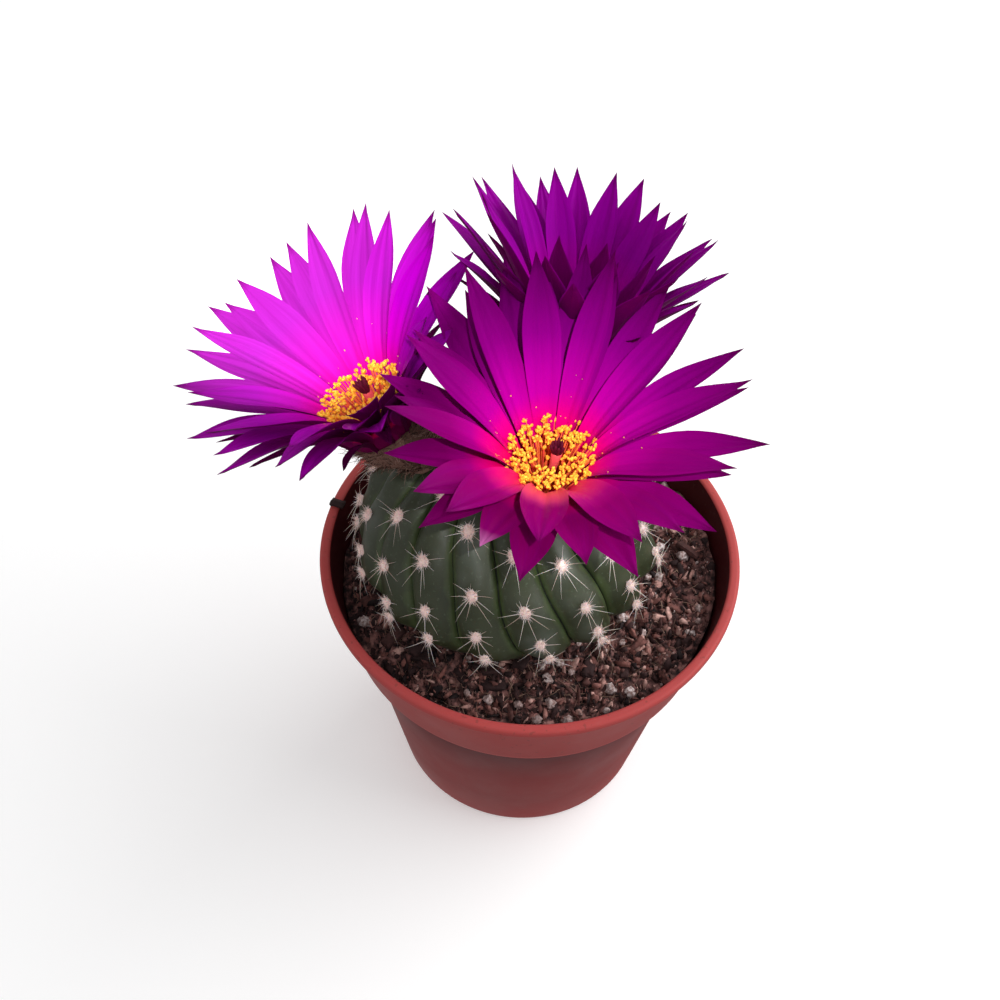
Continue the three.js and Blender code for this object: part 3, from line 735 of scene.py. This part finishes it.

# The wool gives off a faint pinkish light of its own: a painted glow.
wool_with_painted_glow = Finish("areole_wool", Roughness=0.9, Subsurface_Weight=0.3, Subsurface_Scale=0.001,
                Emission_Color=(1, 0.74, 0.7), Emission_Strength=0.12)
wool_with_painted_glow.set(Base_Color=wool_with_painted_glow.ramp(
    wool_with_painted_glow.mark("tone"), (0, (0.7, 0.46, 0.42)), (0.4, (0.86, 0.66, 0.62)), (1, (0.97, 0.87, 0.84))))
wool_with_painted_glow.on(areole_wool)
horn = Finish("spine_horn", Roughness=0.4, Subsurface_Weight=0.2, Subsurface_Scale=0.001)
horn.set(Base_Color=horn.ramp(horn.mark("tone"), (0, (0.6, 0.42, 0.36)), (1, (0.85, 0.72, 0.68))))
horn.on(areole_spines)
for piece in (areole_wool, areole_spines):
    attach(piece, "root")
    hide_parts("cactus_body")


# The flower tubes: a fleshy stem under each bloom, grown from an areole near the crown, covered in
# brown-grey wool and dark bristles.

TUBE_RINGS = 26
TUBE_SIDES = 40
TUBE_HAIRS = 1500
HAIRS_PER_BRISTLE = 9
THROAT_FLOOR = -6.3
dice = random.Random(23)


def bloom_seat(bloom):
    """A bloom's own frame: x and y across its throat, z out of it."""
    z = Vector(bloom["axis"]).normalized()
    x = (Vector((1, 0, 0)) - z * z.x).normalized()
    seat = Matrix((x, z.cross(x), z)).transposed().to_4x4()
    seat.translation = Vector(bloom["throat"])
    return seat


def along_tube(below, share):
    """The middle line of a tube and its radius, from its foot at share 0 to its rim at 1."""
    under = Vector((0, 0, -7.4))
    bend = below.lerp(under, 0.45) - Vector((0, 0, 0.4))
    stops = ((0, below, TUBE_FOOT), (0.3, bend, 5.5), (0.6, under, 6.5),
             (0.82, Vector((0, 0, -3.6)), 7.5), (1, Vector((0, 0, -2)), 8.1))
    for (a, start, wide), (b, end, narrow) in zip(stops, stops[1:]):
        if share <= b:
            s = (share - a) / (b - a)
            return start.lerp(end, s), wide + (narrow - wide) * s


for bloom in BLOOMS:
    seat = bloom_seat(bloom)
    below = seat.inverted() @ tube_root(bloom)
    rings = [[below - Vector((0, 0, 1))]]
    for ring in range(TUBE_RINGS + 1):
        share = ring / TUBE_RINGS
        centre, radius = along_tube(below, share)
        points = []
        for direction in circle(1, 0, TUBE_SIDES):
            rough = 0.5 * noise.noise((2.5 * direction.x, 2.5 * direction.y, 9 * share))
            points.append(centre + direction * (radius - 0.5 + rough))
        rings.append(points)
    rings += [circle(5.8, -2.2, TUBE_SIDES), [Vector((0, 0, THROAT_FLOOR - 0.5))]]
    tube = Pile()
    tube.add(loft(rings), seat, tone=0.25)
    bristles = Pile()
    for i in range(TUBE_HAIRS):
        centre, radius = along_tube(below, dice.random())
        turn = dice.uniform(0, 2 * math.pi)
        out = Vector((math.cos(turn), math.sin(turn), 0))
        root = centre + out * (radius - 0.7)
        lean = out + Vector((0, 0, dice.uniform(0.1, 1.3))) + anyway(0.6)
        tube.add(hair(root, lean, dice.uniform(1.2, 2.8), 0.13, anyway(0.55)), seat, tone=dice.random())
        if i % HAIRS_PER_BRISTLE == 0:
            lean = out + Vector((0, 0, 0.9)) + anyway(0.35)
            stiff = hair(root, lean, dice.uniform(3, 5.5), 0.17, anyway(0.1))
            bristles.add(stiff, seat, tone=dice.random())
    bloom["tube"] = tube.piece(bloom["name"] + "_bloom_tube")
    bloom["bristles"] = bristles.piece(bloom["name"] + "_bloom_bristles")

felt = Finish("tube_felt", Roughness=0.95, Specular_IOR_Level=0.1)
felt.set(Base_Color=felt.ramp(
    felt.mark("tone"), (0, (0.12, 0.055, 0.042)), (0.5, (0.34, 0.19, 0.15)), (1, (0.66, 0.44, 0.38))))
bristle = Finish("dark_bristle", Roughness=0.5)
bristle.set(Base_Color=bristle.ramp(
    bristle.mark("tone"), (0, (0.02, 0.008, 0.006)), (1, (0.09, 0.035, 0.025))))
for bloom in BLOOMS:
    for piece, finish in ((bloom["tube"], felt), (bloom["bristles"], bristle)):
        finish.on(piece)
        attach(piece, "root")
        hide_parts("flower_" + bloom["name"] + "_tube")


# The petals: three whorls of thin satin blades in each bloom, grown together at the throat's cup,
# with a gutter at the foot, a fold down the middle and a drawn-out tip. Narrow dark bracts grow
# below them.

PETAL_FOOT = 6.5
FOOT_LIFT = 70
PETAL_STATIONS = 18
PETAL_COLUMNS = 14
WIDEST = 0.6
CROWD_STRETCH = 380
CUP_SIDES = 36
CUP_SECTION = ((5.2, -7.4), (7.6, -0.8), (7.6, 1.0), (7.1, 1.8), (5.7, 1.2), (4.5, THROAT_FLOOR))
BRACTS = 11
BRACT_WIDTH = 2.6
BRACT_ROW = 2.6
FADED_PETAL = ("front", 19)
TWIST_DRAW = 0.38197
BOW_DRAW = 0.72361
WAVE_DRAW = 0.27639
FOLD_DRAW = 0.3247
LIFT_DRAW = 0.754878
LENGTH_DRAW = 0.569840
WIDTH_DRAW = 0.42
TONE_DRAW = 0.83


def draw(i, ratio=0.618034):
    """An even spread of draws between -0.5 and 0.5, with a ratio of its own for each trait."""
    return ((i + 1) * ratio) % 1 - 0.5


def blade_width(s):
    """A petal's half width at a share s of its length, as a share of the widest."""
    if s < WIDEST:
        return 0.4 + 0.6 * math.sin(s / WIDEST * math.pi / 2) ** 1.3
    return math.cos((s - WIDEST) / (1 - WIDEST) * math.pi / 2) ** 1.12


def blade(turn, lift, length, width, row, number, twist=0.0):
    """A petal as points, faces and marks, in its bloom's own frame."""
    out = Vector((math.cos(turn), math.sin(turn), 0))
    side = Vector((-math.sin(turn), math.cos(turn), 0))
    up = Vector((0, 0, 1))
    twist += 0.3 * draw(number, TWIST_DRAW)
    bow = 0.08 * length * draw(number, BOW_DRAW)
    wave = 6 * draw(number, WAVE_DRAW)
    folds = 0.09 + 0.05 * draw(number, FOLD_DRAW)
    middle = out * (PETAL_FOOT + 0.75 * (row - 1)) + up * (-0.7 * (row - 1))
    rings = []
    marks = {"along": [], "across": [], "upper": []}
    for station in range(PETAL_STATIONS):
        s = station / PETAL_STATIONS
        angle = math.radians(lift + (FOOT_LIFT - lift) * (1 - s) ** 2.2)
        along = out * math.cos(angle) + up * math.sin(angle)
        half = 0.5 * width * blade_width(s)
        lean = Matrix.Rotation(twist * s, 3, along)
        right, above = lean @ side, lean @ along.cross(side)
        centre = middle - along * (1.4 if station == 0 else 0) + side * bow * s * s
        thick = 0.42 * (1 - 0.5 * s)
        ring = []
        for face, columns in ((1, range(PETAL_COLUMNS, -1, -1)), (-1, range(1, PETAL_COLUMNS))):
            for column in columns:
                w = 2 * column / PETAL_COLUMNS - 1
                cup = half * (0.5 * (1 - s) ** 1.4 + 0.15) * w * w
                fold = 0.16 * math.exp(-(w / 0.2) ** 2)
                groove = fold + folds * math.sin(s * 3.1) * math.cos(9.5 * w + wave)
                edge = 0.2 * s * math.sin(11 * s + wave + 2 * w) * w
                skin = 0.5 * face * thick * (1 - w * w)
                ring.append(centre + right * w * half + above * (cup - groove + edge + skin))
                marks["along"].append(s)
                marks["across"].append(w)
                marks["upper"].append(0.5 + 0.5 * face if abs(w) < 1 else 0.5)
        rings.append(ring)
        ahead = math.radians(lift + (FOOT_LIFT - lift) * (1 - s - 0.5 / PETAL_STATIONS) ** 2.2)
        middle = middle + (out * math.cos(ahead) + up * math.sin(ahead)) * (length / PETAL_STATIONS)
    rings.append([middle + side * bow])
    marks["along"].append(1.0)
    marks["across"].append(0.0)
    marks["upper"].append(0.5)
    return loft(rings), marks


def crowding(bloom, turn):
    """How a bloom's neighbours push up, stunt and turn a petal that points along turn."""
    inverse = bloom_seat(bloom).inverted()
    lift, stunt, twist = 0, 0, 0
    for other in BLOOMS:
        if other is not bloom:
            toward = inverse @ Vector(other["throat"])
            aside = turn - math.atan2(toward.y, toward.x)
            facing = max(0, math.cos(aside))
            lift += bloom["push"][other["name"]] * facing ** 3
            if bloom["push"][other["name"]]:
                stunt += bloom["stunt"] * facing ** 3
                twist += bloom["turned"] * facing * max(0, math.sin(aside))
    return lift, stunt, twist


for bloom in BLOOMS:
    seat = bloom_seat(bloom)
    whorls = Pile()
    whorls.add(loft([circle(r, z, CUP_SIDES) for r, z in CUP_SECTION]), seat,
               along=0.0, across=0.0, upper=[0.0] * CUP_SIDES * 3 + [1.0] * CUP_SIDES * 3,
               tone=0.5, bract=0.0, warm=0.5, pale=0.0, coral=0.0, faded=0.0)
    number = 0
    bloom["feet"] = []
    for row, (count, first, row_lift, row_length) in enumerate(bloom["rows"]):
        for i in range(count):
            turn = math.radians(first + 360 * i / count + 5 * draw(number))
            crowd, stunt, twist = crowding(bloom, turn)
            sway = bloom["sway"] * math.cos(turn - math.radians(bloom["sway_side"]))
            lift = row_lift + sway + 4 * draw(number, LIFT_DRAW) + crowd
            reach = bloom["reach"] * math.cos(turn - math.radians(bloom["reach_side"]))
            reach += crowd / CROWD_STRETCH
            length = row_length * (1 + reach - stunt + 0.08 * draw(number, LENGTH_DRAW))
            broad = bloom["broad"] * max(0, -math.sin(turn), 0.8 * math.cos(turn - 2.4) ** 3)
            width = bloom["width"] * (1 + broad + 0.16 * draw(number, WIDTH_DRAW))
            shape, marks = blade(turn, lift, length, width, row, number, twist)
            warm = bloom["warm"] * (0.72 + 0.28 * math.cos(turn + 1.75))
            # Shares of colour: a redder, darker tone that is partly painted shade, a painted highlight on
            # the sunlit petals, and painted light on the feet of the lowest outer petals.
            whorls.add(shape, seat, tone=0.5 + draw(number, TONE_DRAW), bract=0.0, warm=warm,
                       pale=bloom["pale"] * min(1, max(0, 0.15 + 1.1 * math.cos(turn - 2.3))),
                       coral=bloom["warm"] * (row == 0) * max(0, -math.sin(turn)) ** 12,
                       faded=float((bloom["name"], number) == FADED_PETAL), **marks)
            for point, s, face in zip(shape[0], marks["along"], marks["upper"]):
                if 0.1 < s < 0.4 and face == 1:
                    bloom["feet"].append(point)
            number += 1
    outer_lift = bloom["rows"][-1][2]
    for i in range(BRACTS):
        turn = math.radians(360 * i / BRACTS + 20 * draw(i, LIFT_DRAW))
        lift = outer_lift - 9 + 8 * draw(i) + crowding(bloom, turn)[0]
        shape, marks = blade(turn, lift, 20 + 9 * draw(i, LENGTH_DRAW), BRACT_WIDTH, BRACT_ROW, number)
        whorls.add(shape, seat, tone=0.5 + draw(number, TONE_DRAW), bract=1.0, warm=0.5,
                   pale=0.0, coral=0.0, faded=0.0, **marks)
        number += 1
    bloom["petals"] = whorls.piece(bloom["name"] + "_bloom_petals")
    only(bloom["petals"])
    bpy.ops.object.shade_smooth_by_angle(angle=math.radians(70))

satin = Finish("magenta_petal", Specular_IOR_Level=0.1, Specular_Tint=(1, 0.05, 0.9))
along = satin.mark("along")
stretched = satin.node("CombineXYZ", {}, {
    0: satin.mark("across") * 2.2, 1: along * 0.6, 2: satin.mark("tone") * 40})
veins = satin.noise(3, 4, stretched)
warm_and_shaded_share = satin.mark("warm")
# Partly painted shade: the front bloom's petals, most of all the nearer ones, are made redder and darker.
violet = satin.mix(warm_and_shaded_share, (0.44, 0.0, 0.52), (0.29, 0.0, 0.1))
# Painted highlight: the upper-left petals of the sunlit left bloom are made a paler magenta.
with_painted_highlight = satin.mix(satin.mark("pale"), violet, (0.46, 0.022, 0.5))
toned = satin.mix((1 - warm_and_shaded_share) * satin.mark("tone") * 0.4, with_painted_highlight, (0.3, 0.0, 0.34))
towards_tip = satin.fit(along, 0.4, 1, 0, 0.6) * satin.fit(warm_and_shaded_share, 0.2, 0.4, 0.2, 1)
deeper = satin.mix(towards_tip, toned, (0.13, 0.0, 0.12))
veined = satin.mix(satin.fit(veins, 0.4, 0.7, 0, 0.3), deeper, (0.2, 0.0, 0.17))
brighter = satin.mix(satin.fit(along, 0.12, 0.6, 0.75, 0), veined, (0.72, 0.0, 0.46))
past_foot = along - 0.1 * satin.mark("tone") - satin.fit(warm_and_shaded_share, 0.72, 1.0, 0, 0.24)
blush = satin.fit(past_foot, 0.0, 0.26, 1, 0) * satin.fit(warm_and_shaded_share, 0.0, 0.3, 0.35, 1)
# Painted light: the feet of the front bloom's lowest outer petals are made a pale coral, as if in sun.
blush_and_painted_light = satin.mix(satin.mark("coral"), (0.95, 0.0, 0.14), (1.0, 0.08, 0.13))
blushed = satin.mix(blush, brighter, blush_and_painted_light)
with_painted_lit_feet = satin.mix(satin.mark("coral") * satin.fit(along, 0.2, 0.6, 1, 0), blushed, blush_and_painted_light)
# The undersides of the petals are made dark maroon: partly their own colour and partly painted shade.
darker_backs_and_painted_shade = satin.mix(satin.fit(satin.mark("upper"), 0.0, 0.5, 0.88, 0), with_painted_lit_feet, (0.12, 0.0, 0.075))
pointed = satin.mix(satin.fit(along, 0.9, 1, 0, 0.8), darker_backs_and_painted_shade, (0.08, 0.0, 0.04))
faded = satin.mix(satin.mark("faded") * satin.fit(along, 0.84, 1, 0, 0.85), pointed, (0.66, 0.2, 0.5))
satin.set(
    Base_Color=satin.mix(satin.mark("bract") * 0.85, faded, (0.06, 0.002, 0.03)),
    Roughness=satin.fit(veins, 0.3, 0.7, 0.36, 0.5),
    Normal=satin.bump(veins, 0.35, 0.15))
glow = satin.node("BsdfTranslucent", {}, {"Color": (0.6, 0.0, 0.45)})
lit = satin.node("MixShader", {}, {0: 0.28, 1: Wire(satin, satin.shader.outputs[0]), 2: glow})
satin.feed(satin.tree.nodes["Material Output"], {"Surface": lit})
for bloom in BLOOMS:
    satin.on(bloom["petals"])
    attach(bloom["petals"], "root")
    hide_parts("flower_" + bloom["name"] + "_petals")


# The stamens: a dense ring of orange-red threads on the cup's floor, each under a clump of anthers
# heavy with golden pollen, leaning outwards and leaving a bowl round the style. Some pollen has
# fallen on the petals' feet.

STAMENS = 200
ANTHERS_PER_CLUMP = 3
POLLEN_SPECKS = 110
dice = random.Random(31)


def anther_model():
    """An anther 1 long: a bead drawn out along Z and flattened, with uneven sides."""
    bpy.ops.object.select_all(action="DESELECT")
    bpy.ops.mesh.primitive_uv_sphere_add(segments=8, ring_count=6, radius=0.5)
    bpy.ops.object.mode_set(mode="EDIT")
    bpy.ops.mesh.select_all(action="SELECT")
    bpy.ops.transform.resize(value=(0.72, 0.58, 1))
    bpy.ops.transform.vertex_random(offset=0.08, uniform=0.5, seed=3)
    bpy.ops.object.mode_set(mode="OBJECT")
    return model_of(bpy.context.active_object)


anther = anther_model()
for bloom in BLOOMS:
    seat = bloom_seat(bloom)
    cluster = Pile()
    for i in range(STAMENS):
        share = math.sqrt((i + 0.5) / STAMENS)
        turn = math.radians(137.5 * i) + dice.uniform(-0.12, 0.12)
        out = Vector((math.cos(turn), math.sin(turn), 0))
        foot = out * (1.9 + 1.7 * share) + Vector((0, 0, THROAT_FLOOR + 0.2))
        reach = 1.3 + 6.6 * share + 0.6 * math.sin(5 * turn) * math.sin(3 * turn + 1)
        tip = out * reach + Vector((0, 0, 3.6 + 2.6 * share + dice.uniform(-0.7, 0.7))) + anyway(0.6)
        belly = foot.lerp(tip, 0.5) + Vector((0, 0, 0.4)) - out * 0.5
        path = [foot, foot.lerp(belly, 0.5), belly, belly.lerp(tip, 0.5) + Vector((0, 0, 0.1)), tip]
        cluster.add(strand(path, [0.19, 0.18, 0.16, 0.14, 0.11], 5), seat, anther=0.0, tone=dice.random())
        for _ in range(ANTHERS_PER_CLUMP):
            lean = ((tip - belly).normalized() + anyway(1.3)).normalized()
            size = dice.uniform(0.7, 1.05)
            lie = lean.to_track_quat("Z", "X").to_matrix().to_4x4()
            place = Matrix.Translation(tip + lean * 0.4) @ lie @ Matrix.Diagonal((size, size, size, 1))
            cluster.add(anther, seat @ place, anther=1.0, tone=dice.random())
    for i in range(POLLEN_SPECKS):
        size = dice.uniform(0.16, 0.36)
        spot = dice.choice(bloom["feet"]) + anyway(0.3)
        place = Matrix.Translation(spot) @ Matrix.Diagonal((size, size, size, 1))
        cluster.add(anther, seat @ place, anther=1.0, tone=dice.random())
    bloom["stamens"] = cluster.piece(bloom["name"] + "_bloom_stamens")

pollen = Finish("golden_pollen", Roughness=0.75, Subsurface_Weight=0.2, Subsurface_Scale=0.001)
powder = pollen.noise(2600, 3)
gold = pollen.mix(pollen.mark("tone"), (1.0, 0.36, 0.01), (1.0, 0.62, 0.055))
dusty = pollen.mix(pollen.fit(powder, 0.3, 0.55), (0.8, 0.22, 0.01), gold)
thread = pollen.mix(pollen.mark("tone"), (0.7, 0.03, 0.03), (0.9, 0.18, 0.03))
pollen.set(
    Base_Color=pollen.mix(pollen.mark("anther"), thread, dusty),
    Normal=pollen.bump(powder, 0.6, 0.12))
for bloom in BLOOMS:
    pollen.on(bloom["stamens"])
    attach(bloom["stamens"], "root")
    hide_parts("flower_" + bloom["name"] + "_stamens")


# The pistils: a slim red style up the middle of each bloom, under a dark velvety stigma whose
# finger-like lobes stand close together.

LOBES = 9
LOBE_RISE = Vector((0, 0, 3.2))
LOBE_TIP = Vector((0, 0, 3.5))
for bloom in BLOOMS:
    seat = bloom_seat(bloom)
    column = Pile()
    path = [Vector((0.1 * z, 0.04 * z, THROAT_FLOOR + 0.2 + z)) for z in (0, 3, 6, 9, 11.5, 12.6)]
    column.add(strand(path, [0.95, 0.8, 0.75, 0.8, 1.0, 0.6], 14), seat, lobe=0.0)
    crown = path[-2]
    for i, out in enumerate(circle(1, 0, LOBES)):
        spread = 0.5 + 0.3 * (i % 3)
        path = [crown + out * (0.3 + spread * s) + LOBE_RISE * s for s in (0, 0.3, 0.6, 0.85)]
        path.append(crown + out * (0.3 + spread) + LOBE_TIP)
        column.add(strand(path, [0.36, 0.44, 0.42, 0.3, 0], 7), seat, lobe=1.0)
    bloom["pistil"] = column.piece(bloom["name"] + "_bloom_pistil")

velvet = Finish("red_stigma", Roughness=0.75, Specular_IOR_Level=0.15)
nap = velvet.noise(2400, 3)
style = velvet.mix(nap, (0.7, 0.05, 0.09), (0.85, 0.12, 0.12))
stigma = velvet.mix(nap, (0.045, 0.0, 0.008), (0.12, 0.002, 0.02))
velvet.set(Base_Color=velvet.mix(velvet.mark("lobe"), style, stigma), Normal=velvet.bump(nap, 0.5, 0.1))
for bloom in BLOOMS:
    velvet.on(bloom["pistil"])
    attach(bloom["pistil"], "root")
    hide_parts("flower_" + bloom["name"] + "_pistil")


# The set: a plain white floor, white surroundings, a large soft light on the right and two narrow
# beams of sun on the nearer blooms, seen by a camera that looks down on the plant.

bpy.ops.object.select_all(action="DESELECT")
bpy.ops.mesh.primitive_plane_add(size=4)
floor = bpy.context.active_object
floor.name = "white_floor"
paper = Finish("white_floor", Roughness=0.9, Specular_IOR_Level=0.1,
               Emission_Color=(1, 1, 1), Emission_Strength=0.24)
paper.set(Base_Color=paper.mix(paper.noise(3), (0.85, 0.85, 0.855), (0.86, 0.86, 0.86)))
paper.on(floor)
floor.visible_diffuse = False
floor.visible_glossy = False

world = bpy.data.worlds.new("white_room")
world.use_nodes = True
room = world.node_tree
direction = room.nodes.new("ShaderNodeTexCoord")
split = room.nodes.new("ShaderNodeSeparateXYZ")
sky = room.nodes.new("ShaderNodeMapRange")
below_level, above_level, dim, bright = -0.25, 0.35, 0.3, 0.72
for socket, value in enumerate((below_level, above_level, dim, bright), start=1):
    sky.inputs[socket].default_value = value
room.links.new(direction.outputs["Generated"], split.inputs[0])
room.links.new(split.outputs[2], sky.inputs[0])
room.links.new(sky.outputs[0], room.nodes["Background"].inputs["Strength"])
room.nodes["Background"].inputs["Color"].default_value = (1, 1, 1, 1)
bpy.context.scene.world = world
bpy.context.scene.view_settings.view_transform = "Standard"


def lamp(kind, name, place, aim, power, **shape):
    """A light at a place, turned towards a point."""
    light = bpy.data.lights.new(name, kind)
    light.energy = power
    for key, value in shape.items():
        setattr(light, key, value)
    holder = bpy.data.objects.new(name, light)
    holder.location = place
    holder.rotation_euler = (Vector(aim) - Vector(place)).to_track_quat("-Z", "Y").to_euler()
    bpy.context.scene.collection.objects.link(holder)


lamp("AREA", "sky_side", (0.42, 0.12, 0.38), (0, 0, 0.06), 3.0, shape="RECTANGLE", size=0.8, size_y=0.3)
lamp("SPOT", "sun_on_left_bloom", (0.03, -0.4, 0.56), (-0.045, 0.022, 0.12), 32,
     spot_size=math.radians(5.5), spot_blend=0.55, shadow_soft_size=0.004)
lamp("SPOT", "sun_on_front_bloom", (0.06, -0.35, 0.6), (0.005, -0.006, 0.106), 20,
     spot_size=math.radians(6.1), spot_blend=1, shadow_soft_size=0.004)

CAMERA_PLACE = Vector((-0.0064, -0.1683, 0.2950))
CAMERA_AIM = Vector((-0.0064, 0, 0.0816))
CAMERA_ROLL = math.radians(1.8)
view = bpy.data.cameras.new("photo_camera")
view.sensor_width = 36
view.lens = 50.4
camera = bpy.data.objects.new("photo_camera", view)
forward = (CAMERA_AIM - CAMERA_PLACE).normalized()
right = forward.cross(Vector((0, 0, 1))).normalized()
upward = right.cross(forward)
tilted_right = math.cos(CAMERA_ROLL) * right + math.sin(CAMERA_ROLL) * upward
tilted_up = math.cos(CAMERA_ROLL) * upward - math.sin(CAMERA_ROLL) * right
turned_view = Matrix((tilted_right, tilted_up, -forward)).transposed().to_4x4()
camera.matrix_world = Matrix.Translation(CAMERA_PLACE) @ turned_view
bpy.context.scene.collection.objects.link(camera)
bpy.context.scene.camera = camera
